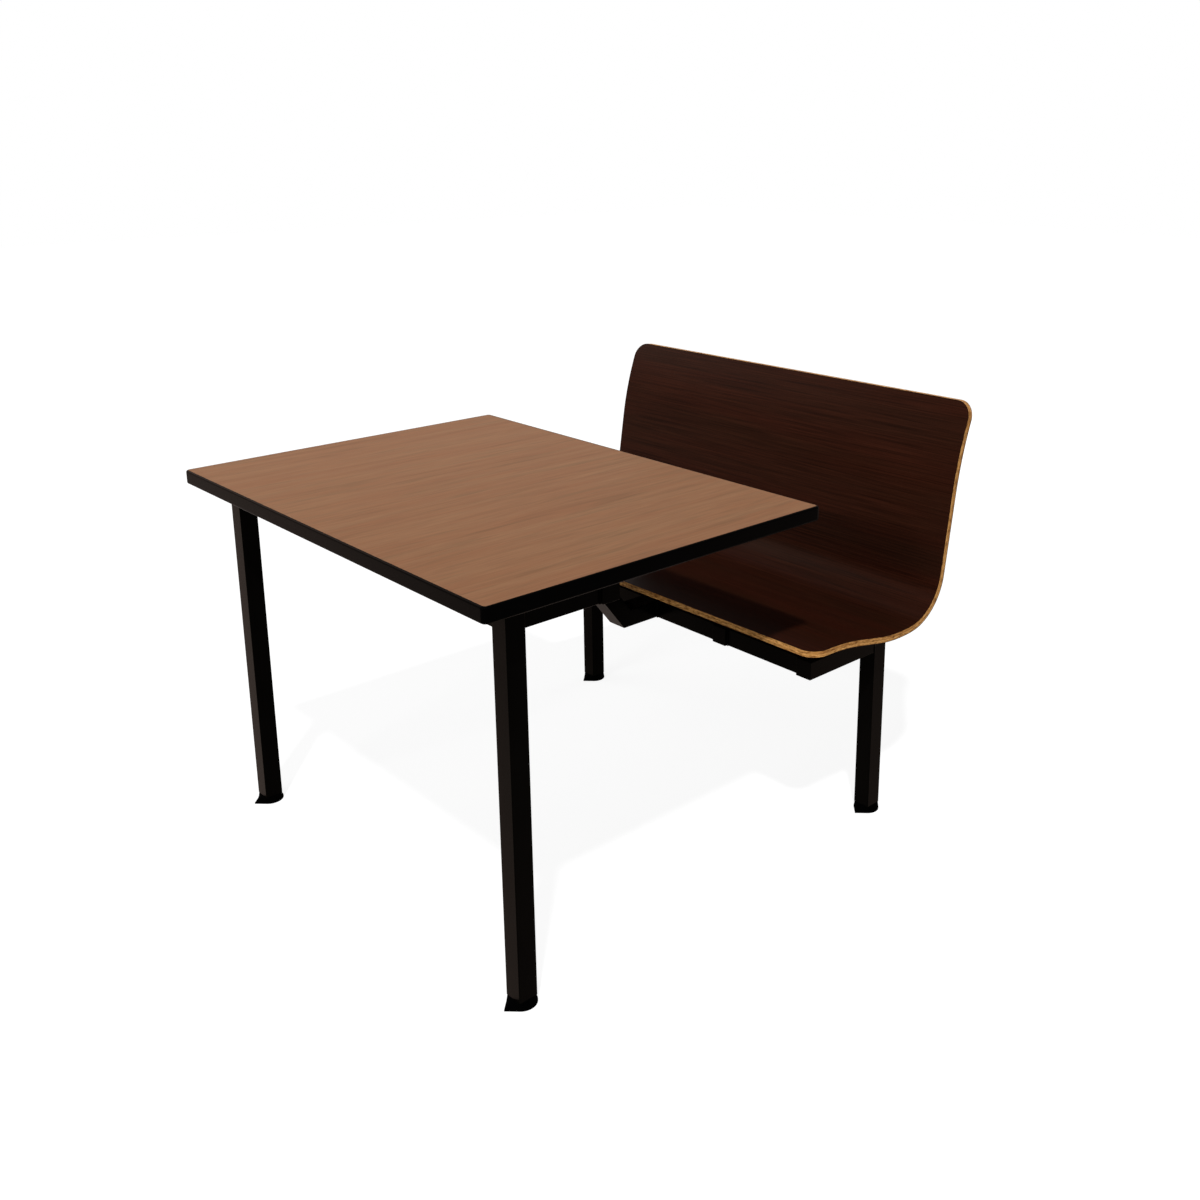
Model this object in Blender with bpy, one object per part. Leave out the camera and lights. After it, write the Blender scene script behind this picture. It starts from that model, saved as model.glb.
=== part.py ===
"""Restaurant booth: a table and one contoured bench on a shared welded frame.

Metres, +Z up. X runs from the table's free end to the bench's back, Y across, floor at z = 0.
Sizes along X are measured from the table's free end; an empty then moves the whole booth so that
the origin is the middle of its footprint. Left is -Y, as the sitter on the bench sees it.
"""
from math import acos, atan2, ceil, cos, pi, radians, sin, sqrt, tan

import bmesh
import bpy
from mathutils import Vector

# Fits
FIT_GAP = 0.0003            # between pieces that rest on, seat in or are welded to each other
LEAST_CORNER = 0.0004       # smallest corner radius that an outline is drawn with

# Tabletop
TABLE_LENGTH = 0.762
TABLE_WIDTH = 1.0668
TABLE_HEIGHT = 0.762
TABLE_THICKNESS = 0.0286
TABLE_CORNER = 0.010
LAMINATE = 0.0009
BACKER = 0.0006
EDGE_BAND = 0.0045
EDGE_ROUND = 0.0040
TONGUE_DEPTH = 0.010
TONGUE_THICKNESS = 0.0022

# Frame tubes
TUBE = 0.0381
TUBE_WALL = 0.0019
TUBE_CORNER = 0.0015
RAIL_WIDTH = 0.0254
RAIL_HEIGHT = 0.0508
RAIL_CORNER = 0.0015
TABLE_OVERHANG = 0.0476     # of the tabletop past the outer faces of its legs
TABLE_LEG_X = 0.0907
CROSS_TUBE_X = 0.2867
BENCH_LEG_X = 1.0260
BENCH_FRONT_X = 0.8086      # front of the bench frame, without its end caps
MID_TUBE_Y = 0.2286

# End caps, mounting tabs and seat brackets
CAP_HEAD = 0.0064
CAP_ROUND = 0.0006
CAP_PLUG = 0.014
TAB_LENGTH = 0.040
TAB_WIDTH = 0.060
TAB_THICKNESS = 0.0048
TAB_CORNER = 0.006
TAB_INSET = 0.16675         # of the outer tabs' middles from the legs' axes
BRACKET_REACH = 0.062       # along the shell, from its front edge to the bracket
BRACKET_FLANGE = 0.038
BRACKET_THICKNESS = 0.0048
BRACKET_WIDTH = 0.030
BRACKET_BEND = 0.0040       # inner radius of a bracket's bends
BRACKET_HOLES = 0.016       # between the axes of a bracket's two screw holes
SCREW_HOLE = 0.0065         # width of a tab's or bracket's screw hole

# Z-shaped beam between bench and table
BEAM_WIDTH = 0.0508
BEAM_BEND_X = 0.7118        # lower corner of the lower bend
BEAM_SLANT = radians(52.5)

# Bench shell: its side profile is a chain of straight runs and bends, front edge to top edge
SEAT_OVERHANG = 0.0432      # of the shell past the outer faces of the legs
SEAT_THICKNESS = 0.0143
SEAT_VENEER = 0.0009
SEAT_CORNER = 0.038
SEAT_FRONT_X = 0.762
SEAT_FRONT_HEIGHT = 0.4599
FRONT_FLAT = 0.0395
ROLL_RADIUS = 0.531
ROLL_TURN = radians(11.3)
SEAT_FLAT = 0.061
DISH_RADIUS = 0.370
DISH_TURN = radians(16.8)
BEND_RADIUS = 0.106
BEND_TURN = radians(75.7)
LUMBAR_FLAT = 0.174
CURL_RADIUS = 0.776
CURL_TURN = radians(14.8)
TOP_TRIM = radians(18)      # lean of the top edge's cut from square, towards level

# Levelling feet
FOOT_RADIUS = 0.027
TOE_REACH = 0.0382          # from the leg's axis to the tip of the toe
FOOT_HEIGHT = 0.0145
FOOT_LIP = 0.0030
FOOT_CHAMFER = 0.0008
FOOT_LEDGE = 0.0006         # how far the foot's top stands proud of the leg
SOCKET_DEPTH = 0.0090
STEM_RADIUS = 0.0050
STEM_LENGTH = 0.050
INSERT_LENGTH = 0.030

# Facets
CORNER_STEPS = 3
EDGE_STEPS = 4
BEND_STEPS = 4
SHELL_CORNER_STEPS = 8
SHELL_SAG = 0.0001          # farthest that a facet of the shell lies from its true curve
ROUND_STEPS = 32
SQUARENESS = 8              # exponent of the squarish outline of a foot's top and a leg insert

# Heights and places that follow from the sizes above
TABLE_UNDERSIDE = TABLE_HEIGHT - TABLE_THICKNESS
TABLE_FRAME_TOP = TABLE_UNDERSIDE - FIT_GAP
LEG_BOTTOM = FOOT_HEIGHT + FIT_GAP
LEG_SPREAD = TABLE_WIDTH - 2 * TABLE_OVERHANG
LEG_Y = LEG_SPREAD / 2 - TUBE / 2
TAB_Y = LEG_Y - TAB_INSET
SEAT_WIDTH = LEG_SPREAD + 2 * SEAT_OVERHANG
SQUARE_TUBE = (TUBE, TUBE, TUBE_CORNER)
CROSS_SECTION = (TUBE, RAIL_HEIGHT, TUBE_CORNER)
RAIL_SECTION = (RAIL_WIDTH, RAIL_HEIGHT, RAIL_CORNER)
BEAM_SECTION = (BEAM_WIDTH, TUBE, TUBE_CORNER)
SIDES = {"left": -1, "right": 1}
X_AXIS, Y_AXIS = Vector((1, 0, 0)), Vector((0, 1, 0))


def finish(name, color, roughness, metallic=0.0):
    """A plain Principled material."""
    material = bpy.data.materials.new(name)
    material.use_nodes = True
    shader = material.node_tree.nodes["Principled BSDF"]
    shader.inputs["Base Color"].default_value = (*color, 1.0)
    shader.inputs["Roughness"].default_value = roughness
    shader.inputs["Metallic"].default_value = metallic
    return material


def skin(name, loops, material, ring=False, place=(0.0, 0.0, 0.0)):
    """One closed body through successive loops of points, capped at both ends or joined as a ring."""
    bm = bmesh.new()
    rows = [[bm.verts.new(point) for point in loop] for loop in loops]
    pairs = list(zip(rows, rows[1:]))
    if ring:
        pairs.append((rows[-1], rows[0]))
    else:
        bm.faces.new(rows[0])
        bm.faces.new(rows[-1])
    for row, following in pairs:
        for i in range(len(row)):
            j = (i + 1) % len(row)
            bm.faces.new((row[i], row[j], following[j], following[i]))
    bmesh.ops.recalc_face_normals(bm, faces=bm.faces)
    mesh = bpy.data.meshes.new(name)
    bm.to_mesh(mesh)
    bm.free()
    mesh.shade_smooth()
    mesh.set_sharp_from_angle(angle=radians(30))
    mesh.materials.append(material)
    piece = bpy.data.objects.new(name, mesh)
    piece.location = place
    piece.parent = booth
    bpy.context.collection.objects.link(piece)
    return piece


def rounded_rectangle(width, height, corner):
    """Points of a rectangle with round corners, about its middle."""
    corner = max(corner, LEAST_CORNER)
    points = []
    for quarter, (side, end) in enumerate(((1, 1), (-1, 1), (-1, -1), (1, -1))):
        for step in range(CORNER_STEPS + 1):
            angle = (quarter + step / CORNER_STEPS) * pi / 2
            points.append((side * (width / 2 - corner) + corner * cos(angle),
                           end * (height / 2 - corner) + corner * sin(angle)))
    return points


def polar(radius_at, height):
    """A loop at one height whose radius follows the angle about the axis."""
    angles = [2 * pi * step / ROUND_STEPS for step in range(ROUND_STEPS)]
    return [Vector((radius_at(a) * cos(a), radius_at(a) * sin(a), height)) for a in angles]


def tube(name, start, end, across, section, slopes=(0.0, 0.0), trims=(FIT_GAP, FIT_GAP)):
    """An open-ended tube; slopes tilt its end cuts, trims draw its ends back along it."""
    start, end = Vector(start), Vector(end)
    along = (end - start).normalized()
    upward = along.cross(across)
    width, height, corner = section
    ends = (start + along * trims[0], end - along * trims[1])
    loops = []
    for inset, which in ((0.0, 0), (0.0, 1), (TUBE_WALL, 1), (TUBE_WALL, 0)):
        outline = rounded_rectangle(width - 2 * inset, height - 2 * inset, corner - inset)
        tilt = upward + along * slopes[which]
        loops.append([ends[which] + across * u + tilt * v for u, v in outline])
    return skin(name, loops, FRAME_STEEL, ring=True)


def end_cap(name, tube_end, outward, across, section):
    """A plastic cap: a plug inside the tube and a head of the tube's size over its end."""
    upward = outward.cross(across)
    width, height, corner = section
    plug_inset = TUBE_WALL + FIT_GAP
    levels = ((-CAP_PLUG, plug_inset), (FIT_GAP, plug_inset), (FIT_GAP, 0.0),
              (FIT_GAP + CAP_HEAD - CAP_ROUND, 0.0), (FIT_GAP + CAP_HEAD, CAP_ROUND))
    loops = []
    for distance, inset in levels:
        outline = rounded_rectangle(width - 2 * inset, height - 2 * inset, corner - inset)
        loops.append([Vector(tube_end) + outward * distance + across * u + upward * v for u, v in outline])
    return skin(name, loops, BLACK_PLASTIC)


def mounting_tab(name, x, y, length, width):
    """A flat tab with a screw hole, flush with the top of the table frame."""
    loops = []
    top = TABLE_FRAME_TOP
    bottom = top - TAB_THICKNESS
    outer = rounded_rectangle(length, width, TAB_CORNER)
    hole = rounded_rectangle(SCREW_HOLE, SCREW_HOLE, SCREW_HOLE / 2)
    for outline, height in ((outer, bottom), (outer, top), (hole, top), (hole, bottom)):
        loops.append([Vector((x + u, y + v, height)) for u, v in outline])
    return skin(name, loops, FRAME_STEEL, ring=True)


def top_outline(inset, height):
    """The tabletop's outline, drawn in by an inset, at a height above its underside."""
    outline = rounded_rectangle(TABLE_LENGTH - 2 * inset, TABLE_WIDTH - 2 * inset, TABLE_CORNER - inset)
    return [Vector((TABLE_LENGTH / 2 + u, v, TABLE_UNDERSIDE + height)) for u, v in outline]


def make_tabletop():
    """Board, laminate and backer inside a moulded edge band whose tongue sits in the board's groove."""
    middle = TABLE_THICKNESS / 2
    half_tongue = TONGUE_THICKNESS / 2
    rounding = min(EDGE_ROUND, EDGE_BAND - FIT_GAP)
    turns = [step / EDGE_STEPS * pi / 2 for step in range(EDGE_STEPS + 1)]
    lower = [(rounding * (1 - sin(turn)), rounding * (1 - cos(turn))) for turn in turns]
    upper = [(inset, TABLE_THICKNESS - height) for inset, height in reversed(lower)]
    tongue_tip = EDGE_BAND + TONGUE_DEPTH
    tongue = [(EDGE_BAND, middle + half_tongue), (tongue_tip, middle + half_tongue),
              (tongue_tip, middle - half_tongue), (EDGE_BAND, middle - half_tongue)]
    band = [(EDGE_BAND, 0.0)] + lower + upper + [(EDGE_BAND, TABLE_THICKNESS)] + tongue
    skin("tabletop_edge_band", [top_outline(*level) for level in band], EDGE_PLASTIC, ring=True)

    inside = EDGE_BAND + FIT_GAP
    groove = inside + TONGUE_DEPTH
    groove_low, groove_high = middle - half_tongue - FIT_GAP, middle + half_tongue + FIT_GAP
    board = [(inside, BACKER + FIT_GAP), (inside, groove_low), (groove, groove_low),
             (groove, groove_high), (inside, groove_high), (inside, TABLE_THICKNESS - LAMINATE - FIT_GAP)]
    skin("tabletop_core", [top_outline(*level) for level in board], BOARD)
    sheet = [(inside, TABLE_THICKNESS - LAMINATE), (inside, TABLE_THICKNESS)]
    skin("tabletop_laminate", [top_outline(*level) for level in sheet], WALNUT_LAMINATE)
    skin("tabletop_backer", [top_outline(inside, height) for height in (0.0, BACKER)], BACKER_SHEET)


def make_table_frame():
    """Two legs, the rails between them and the cross tube, with tabs for the tabletop's screws."""
    rail_z = TABLE_FRAME_TOP - RAIL_HEIGHT / 2
    cross_end = LEG_SPREAD / 2 - CAP_HEAD - FIT_GAP
    for side, sign in SIDES.items():
        y = sign * LEG_Y
        tube(f"table_leg_{side}", (TABLE_LEG_X, y, LEG_BOTTOM), (TABLE_LEG_X, y, TABLE_FRAME_TOP),
             Y_AXIS, SQUARE_TUBE, trims=(0.0, 0.0))
        tube(f"table_side_rail_{side}", (TABLE_LEG_X + TUBE / 2, y, rail_z),
             (CROSS_TUBE_X - TUBE / 2, y, rail_z), Y_AXIS, RAIL_SECTION)
        end_cap(f"cross_tube_cap_{side}", (CROSS_TUBE_X, sign * cross_end, rail_z),
                Y_AXIS * sign, X_AXIS, CROSS_SECTION)
        end_tab_x = TABLE_LEG_X + RAIL_WIDTH / 2 + FIT_GAP + TAB_LENGTH / 2
        cross_tab_x = CROSS_TUBE_X + TUBE / 2 + FIT_GAP + TAB_LENGTH / 2
        mounting_tab(f"table_tab_end_{side}", end_tab_x, sign * TAB_Y, TAB_LENGTH, TAB_WIDTH)
        mounting_tab(f"table_tab_cross_{side}", cross_tab_x, sign * TAB_Y, TAB_LENGTH, TAB_WIDTH)
    leg_inside = LEG_Y - TUBE / 2
    tube("table_end_rail", (TABLE_LEG_X, -leg_inside, rail_z), (TABLE_LEG_X, leg_inside, rail_z),
         X_AXIS, RAIL_SECTION)
    tube("table_cross_tube", (CROSS_TUBE_X, -cross_end, rail_z), (CROSS_TUBE_X, cross_end, rail_z),
         X_AXIS, CROSS_SECTION, trims=(0.0, 0.0))


def make_beam():
    """The mitred tube that rises from the bench frame to the cross tube under the table."""
    mitre = tan(BEAM_SLANT / 2)
    upper_z = TABLE_FRAME_TOP - TUBE / 2
    lower_z = BENCH_FRAME_TOP - TUBE / 2
    lower_bend = Vector((BEAM_BEND_X + mitre * TUBE / 2, 0.0, lower_z))
    upper_bend = Vector((lower_bend.x - (upper_z - lower_z) / tan(BEAM_SLANT), 0.0, upper_z))
    half_gap = FIT_GAP / 2
    cross_face = CROSS_TUBE_X + TUBE / 2
    tube("beam_upper", (cross_face, 0.0, upper_z), upper_bend, Y_AXIS, BEAM_SECTION,
         slopes=(0.0, mitre), trims=(FIT_GAP, half_gap))
    tube("beam_riser", upper_bend, lower_bend, Y_AXIS, BEAM_SECTION,
         slopes=(-mitre, -mitre), trims=(half_gap, half_gap))
    tube("beam_lower", lower_bend, (BENCH_LEG_X - TUBE / 2, 0.0, lower_z), Y_AXIS, BEAM_SECTION,
         slopes=(mitre, 0.0), trims=(half_gap, FIT_GAP))
    tab_x = (cross_face + upper_bend.x) / 2
    tab_y = BEAM_WIDTH / 2 + FIT_GAP + TAB_LENGTH / 2
    for side, sign in SIDES.items():
        mounting_tab(f"table_tab_beam_{side}", tab_x, sign * tab_y, TAB_WIDTH, TAB_LENGTH)


def make_bench_frame():
    """Two legs with tubes that run forward from them, tied by a rear rail and front rails."""
    z = BENCH_FRAME_TOP - TUBE / 2
    back = BENCH_LEG_X - TUBE / 2
    rail_x = BENCH_FRONT_X + TUBE / 2
    for side, sign in SIDES.items():
        tube(f"bench_leg_{side}", (BENCH_LEG_X, sign * LEG_Y, LEG_BOTTOM),
             (BENCH_LEG_X, sign * LEG_Y, BENCH_FRAME_TOP), Y_AXIS, SQUARE_TUBE, trims=(0.0, 0.0))
        for place, y in (("side", sign * LEG_Y), ("mid", sign * MID_TUBE_Y)):
            tube(f"bench_{place}_tube_{side}", (BENCH_FRONT_X, y, z), (back, y, z), Y_AXIS, SQUARE_TUBE,
                 trims=(0.0, FIT_GAP))
            end_cap(f"bench_{place}_cap_{side}", (BENCH_FRONT_X, y, z), -X_AXIS, Y_AXIS, SQUARE_TUBE)
            seat_bracket(f"seat_bracket_{place}_{side}", y)
        spans = {"inner": (BEAM_WIDTH / 2, MID_TUBE_Y - TUBE / 2),
                 "outer": (MID_TUBE_Y + TUBE / 2, LEG_Y - TUBE / 2)}
        for span, (near, far) in spans.items():
            tube(f"bench_front_rail_{span}_{side}", (rail_x, sign * near, z), (rail_x, sign * far, z),
                 X_AXIS, SQUARE_TUBE)
    leg_inside = LEG_Y - TUBE / 2
    tube("bench_rear_rail", (BENCH_LEG_X, -leg_inside, z), (BENCH_LEG_X, leg_inside, z),
         X_AXIS, SQUARE_TUBE)


def seat_runs():
    """Length and turn of each run of the shell's profile, from the front edge to the top edge."""
    return ((FRONT_FLAT, 0.0), (ROLL_RADIUS * ROLL_TURN, -ROLL_TURN), (SEAT_FLAT, 0.0),
            (DISH_RADIUS * DISH_TURN, DISH_TURN), (BEND_RADIUS * BEND_TURN, BEND_TURN),
            (LUMBAR_FLAT, 0.0), (CURL_RADIUS * CURL_TURN, -CURL_TURN))


def seat_point(distance, depth):
    """Point (x, z) at a distance along the shell's upper face, or straight on, and a depth below it."""
    x, z, heading = SEAT_FRONT_X, SEAT_FRONT_HEIGHT, 0.0
    for length, turn in seat_runs():
        step = min(distance, length)
        bend = turn * step / length
        if turn:
            radius = length / turn
            x += radius * (sin(heading + bend) - sin(heading))
            z += radius * (cos(heading) - cos(heading + bend))
        else:
            x += step * cos(heading)
            z += step * sin(heading)
        heading += bend
        distance -= step
    x += distance * cos(heading)
    z += distance * sin(heading)
    return x + depth * sin(heading), z - depth * cos(heading)


def trimmed_point(distance, depth):
    """Point of the shell, drawn on near the top edge by the lean of that edge's cut."""
    into_corner = max(0.0, 1 - (STATIONS[-1] - distance) / SEAT_CORNER)
    return seat_point(distance + depth * tan(TOP_TRIM) * into_corner, depth)


def seat_stations():
    """Distances along the shell at which it is drawn: its runs' facets and its round corners."""
    marks = [0.0]
    for length, turn in seat_runs():
        facets = max(1, ceil(sqrt(length * abs(turn) / (8 * SHELL_SAG))))
        start = marks[-1]
        marks += [start + length * (facet + 1) / facets for facet in range(facets)]
    total = marks[-1]
    for step in range(1, SHELL_CORNER_STEPS + 1):
        inset = SEAT_CORNER * (1 - cos(step / SHELL_CORNER_STEPS * pi / 2))
        marks += [inset, total - inset]
    marks.sort()
    kept = [mark for mark, following in zip(marks, marks[1:]) if following - mark > FIT_GAP]
    return kept + [total]


def seat_layer(name, top, bottom, material):
    """One layer of the shell, between two depths below its upper face."""
    loops = []
    for distance in STATIONS:
        shortfall = max(0.0, SEAT_CORNER - min(distance, STATIONS[-1] - distance))
        half = SEAT_WIDTH / 2 - SEAT_CORNER + sqrt(SEAT_CORNER ** 2 - shortfall ** 2)
        (x_top, z_top), (x_low, z_low) = trimmed_point(distance, top), trimmed_point(distance, bottom)
        loops.append([Vector((x_top, -half, z_top)), Vector((x_top, half, z_top)),
                      Vector((x_low, half, z_low)), Vector((x_low, -half, z_low))])
    skin(name, loops, material)


def make_seat():
    """Moulded plywood between a face veneer and a back veneer."""
    core_top = SEAT_VENEER + FIT_GAP
    seat_layer("seat_face_veneer", 0.0, SEAT_VENEER, DARK_VENEER)
    seat_layer("seat_plywood", core_top, SEAT_THICKNESS - core_top, PLYWOOD)
    seat_layer("seat_back_veneer", SEAT_THICKNESS - SEAT_VENEER, SEAT_THICKNESS, DARK_VENEER)


def bend_arc(before, corner, after, radius):
    """Points of the arc that rounds a corner between two points of a flat line."""
    back = (before - corner).normalized()
    ahead = (after - corner).normalized()
    half_angle = back.angle(ahead) / 2
    hub = corner + (back + ahead).normalized() * radius / sin(half_angle)
    first = corner + back * radius / tan(half_angle) - hub
    start = atan2(first.y, first.x)
    sweep = atan2(-back.cross(ahead), -back.dot(ahead))
    angles = [start + sweep * step / BEND_STEPS for step in range(BEND_STEPS + 1)]
    return [hub + Vector((cos(angle), sin(angle))) * radius for angle in angles]


def drill(piece, hole, place, tilt):
    """Cuts a screw hole through a bracket; tilt leans its axis from upright, about Y."""
    levels = (-BRACKET_THICKNESS, BRACKET_THICKNESS)
    loops = [polar(lambda angle: SCREW_HOLE / 2, level) for level in levels]
    cutter = skin(f"{piece.name}_{hole}", loops, FRAME_STEEL, place=place)
    cutter.rotation_euler.y = tilt
    cutter.hide_render = True
    cutter.display_type = "WIRE"
    piece.modifiers.new(hole, "BOOLEAN").object = cutter


def seat_bracket(name, y):
    """A bent steel strap: a drilled flange that follows the shell, an upright and a foot on the tube."""
    half = BRACKET_THICKNESS / 2
    depth = SEAT_THICKNESS + FIT_GAP + half
    marks = [BRACKET_REACH + BRACKET_FLANGE * share for share in (0.0, 0.5, 1.0)]
    flange = [Vector(seat_point(mark, depth)) for mark in marks]
    upper_bend = flange[-1] - Vector((half, 0.0))
    lower_bend = Vector((upper_bend.x, BENCH_FRAME_TOP + FIT_GAP + half))
    tip = lower_bend + Vector((half + BRACKET_FLANGE, 0.0))
    radius = BRACKET_BEND + half
    spine = flange[:2] + bend_arc(flange[1], upper_bend, lower_bend, radius)
    spine += bend_arc(upper_bend, lower_bend, tip, radius) + [tip]
    loops = []
    for i, point in enumerate(spine):
        along = (spine[min(i + 1, len(spine) - 1)] - spine[max(i - 1, 0)]).normalized()
        upper = point + Vector((-along.y, along.x)) * half
        lower = point * 2 - upper
        loops.append([Vector((corner.x, y + edge * BRACKET_WIDTH / 2, corner.y))
                      for corner, edge in ((upper, 1), (upper, -1), (lower, -1), (lower, 1))])
    strap = skin(name, loops, FRAME_STEEL)
    strap.data.shade_flat()
    middle = (flange[0] + flange[1]) / 2
    run = flange[1] - flange[0]
    for side, sign in SIDES.items():
        place = (middle.x, y + sign * BRACKET_HOLES / 2, middle.y)
        drill(strap, f"hole_{side}", place, -atan2(run.y, run.x))


def toe_radius(angle):
    """Radius of the foot's footprint: a circle drawn out to a toe that points along -X."""
    from_toe = abs(angle - pi)
    touch = acos(min(1.0, FOOT_RADIUS / TOE_REACH))
    return FOOT_RADIUS / cos(touch - from_toe) if from_toe < touch else FOOT_RADIUS


def squarish(half):
    """Radius of a square with soft corners, of a given half width."""
    def radius(angle):
        powers = abs(cos(angle)) ** SQUARENESS + abs(sin(angle)) ** SQUARENESS
        return half / powers ** (1 / SQUARENESS)
    return radius


def make_foot(leg, x, y):
    """A moulded foot, the stem that stands in its socket, and the insert in the leg that guides it."""
    place = (x, y, 0.0)
    socket = STEM_RADIUS + FIT_GAP
    socket_floor = FOOT_HEIGHT - SOCKET_DEPTH
    skin(f"foot_{leg}", [
        polar(lambda angle: toe_radius(angle) - FOOT_CHAMFER, 0.0),
        polar(toe_radius, FOOT_CHAMFER),
        polar(toe_radius, FOOT_LIP),
        polar(squarish(TUBE / 2 + FOOT_LEDGE), FOOT_HEIGHT),
        polar(lambda angle: socket, FOOT_HEIGHT),
        polar(lambda angle: socket, socket_floor),
    ], BLACK_PLASTIC, place=place)

    stem_foot = socket_floor + FIT_GAP
    stem_top = stem_foot + STEM_LENGTH
    skin(f"foot_stem_{leg}", [
        polar(lambda angle: STEM_RADIUS, stem_foot),
        polar(lambda angle: STEM_RADIUS, stem_top - FOOT_CHAMFER),
        polar(lambda angle: STEM_RADIUS - FOOT_CHAMFER, stem_top),
    ], ZINC_STEEL, place=place)

    plug = squarish(TUBE / 2 - TUBE_WALL - FIT_GAP)
    insert_top = LEG_BOTTOM + INSERT_LENGTH
    skin(f"leg_insert_{leg}", [
        polar(plug, LEG_BOTTOM),
        polar(plug, insert_top),
        polar(lambda angle: socket, insert_top),
        polar(lambda angle: socket, LEG_BOTTOM),
    ], BLACK_PLASTIC, ring=True, place=place)


for old in list(bpy.data.objects):
    bpy.data.objects.remove(old, do_unlink=True)

FRAME_STEEL = finish("black_powder_coat", (0.0075, 0.0070, 0.0068), 0.45, 0.0)
BLACK_PLASTIC = finish("black_nylon", (0.0035, 0.0035, 0.0038), 0.55)
EDGE_PLASTIC = finish("black_urethane_edge", (0.0060, 0.0058, 0.0058), 0.5)
WALNUT_LAMINATE = finish("walnut_laminate", (0.296, 0.150, 0.082), 0.45)
BACKER_SHEET = finish("backer_sheet", (0.030, 0.027, 0.025), 0.7)
BOARD = finish("particle_board", (0.42, 0.29, 0.17), 0.8)
PLYWOOD = finish("beech_plywood", (0.578, 0.305, 0.102), 0.55)
DARK_VENEER = finish("dark_mahogany_veneer", (0.038, 0.0116, 0.0070), 0.4)
ZINC_STEEL = finish("zinc_plated_steel", (0.55, 0.56, 0.58), 0.35, 1.0)

STATIONS = seat_stations()
BENCH_FRAME_TOP = min(seat_point(mark, SEAT_THICKNESS)[1] for mark in STATIONS) - FIT_GAP
OVERALL_LENGTH = max(trimmed_point(mark, SEAT_THICKNESS)[0] for mark in STATIONS)

booth = bpy.data.objects.new("restaurant_booth", None)
booth.location = (-OVERALL_LENGTH / 2, 0.0, 0.0)
bpy.context.collection.objects.link(booth)

make_tabletop()
make_table_frame()
make_beam()
make_bench_frame()
make_seat()
for row, leg_x in (("table", TABLE_LEG_X), ("bench", BENCH_LEG_X)):
    for side, sign in SIDES.items():
        make_foot(f"{row}_{side}", leg_x, sign * LEG_Y)
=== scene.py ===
"""Looks of the restaurant booth: finer pieces, finishes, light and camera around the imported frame.

Metres, +Z up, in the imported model's frame: X runs from the table's free end to the bench's back, Y across.
"""
from math import acos, atan2, ceil, cos, pi, radians, sin, sqrt, tan

import bmesh
import bpy
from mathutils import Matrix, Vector


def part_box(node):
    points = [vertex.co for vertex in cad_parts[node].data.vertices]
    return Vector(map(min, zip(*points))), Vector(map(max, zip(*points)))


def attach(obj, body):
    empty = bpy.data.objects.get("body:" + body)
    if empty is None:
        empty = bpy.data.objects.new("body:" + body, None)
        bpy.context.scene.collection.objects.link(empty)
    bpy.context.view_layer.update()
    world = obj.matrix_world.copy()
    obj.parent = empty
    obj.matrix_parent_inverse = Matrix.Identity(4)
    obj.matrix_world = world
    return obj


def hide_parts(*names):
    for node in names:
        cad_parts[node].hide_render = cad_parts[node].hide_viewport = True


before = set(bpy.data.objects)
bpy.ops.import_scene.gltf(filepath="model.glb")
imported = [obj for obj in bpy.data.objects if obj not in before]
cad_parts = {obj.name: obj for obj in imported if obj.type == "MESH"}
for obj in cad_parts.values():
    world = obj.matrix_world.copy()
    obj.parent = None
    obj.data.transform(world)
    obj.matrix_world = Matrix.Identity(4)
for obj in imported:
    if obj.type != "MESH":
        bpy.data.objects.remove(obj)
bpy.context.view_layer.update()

# Joins between pieces
JOIN = 0.0003               # gap that the frame leaves between touching pieces, closed here
BEAD = 0.0016               # radius of a weld bead
BEAD_PITCH = 0.0030         # length of one ripple of a weld bead
BEAD_RIPPLE = 0.14          # share of its radius by which a bead swells and shrinks
BEAD_STEPS = 8              # points round a bead
BEAD_STEP = BEAD_PITCH / 4  # length of a bead between two of its rings
MOSTLY_X = 0.7              # share of a direction along X from which it counts as running that way
LEAST_SPAN = 1e-9           # keeps a division safe where two points of a path coincide

# Tubes, caps and tabs
TUBE_WALL = 0.0019
TUBE_CORNER = 0.0015
LEAST_CORNER = 0.0004       # smallest corner radius that an outline is drawn with
CAP_HEAD = 0.0064
CAP_ROUND = 0.0007
CAP_PLUG = 0.0020
TAB_CORNER = 0.006
TAB_HOLE = 0.0065
PLATE_EASE = 0.0005

# Tabletop
TABLE_CORNER = 0.010
EDGE_BAND = 0.0045
EDGE_ROUND = 0.0040
LAMINATE_EASE = 0.0004

# Moulded shell: its side profile is a chain of straight runs and bends, front edge to top edge
SHELL_FRONT_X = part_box("seat_face_veneer")[0].x
SHELL_WIDTH = 2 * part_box("seat_face_veneer")[1].y
SHELL_FRONT_HEIGHT = 0.4599
SHELL_THICKNESS = 0.0143
SHELL_VENEER = 0.0009
SHELL_CORNER = 0.038
SHELL_EASE = 0.0008
VENEER_EASE = 0.4 * SHELL_VENEER
EASE_SHARE = 0.3            # where an eased edge has its middle point, as a share of the ease
LEAST_STATION = SHELL_EASE / 5          # stations closer than this are left out
FRONT_FLAT = 0.0395
ROLL_RADIUS = 0.531
ROLL_TURN = radians(11.3)
SEAT_FLAT = 0.061
DISH_RADIUS = 0.370
DISH_TURN = radians(16.8)
BEND_RADIUS = 0.106
BEND_TURN = radians(75.7)
LUMBAR_FLAT = 0.174
CURL_RADIUS = 0.776
CURL_TURN = radians(14.8)
TOP_TRIM = radians(18)      # lean of the top edge's cut from square, towards level
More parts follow.
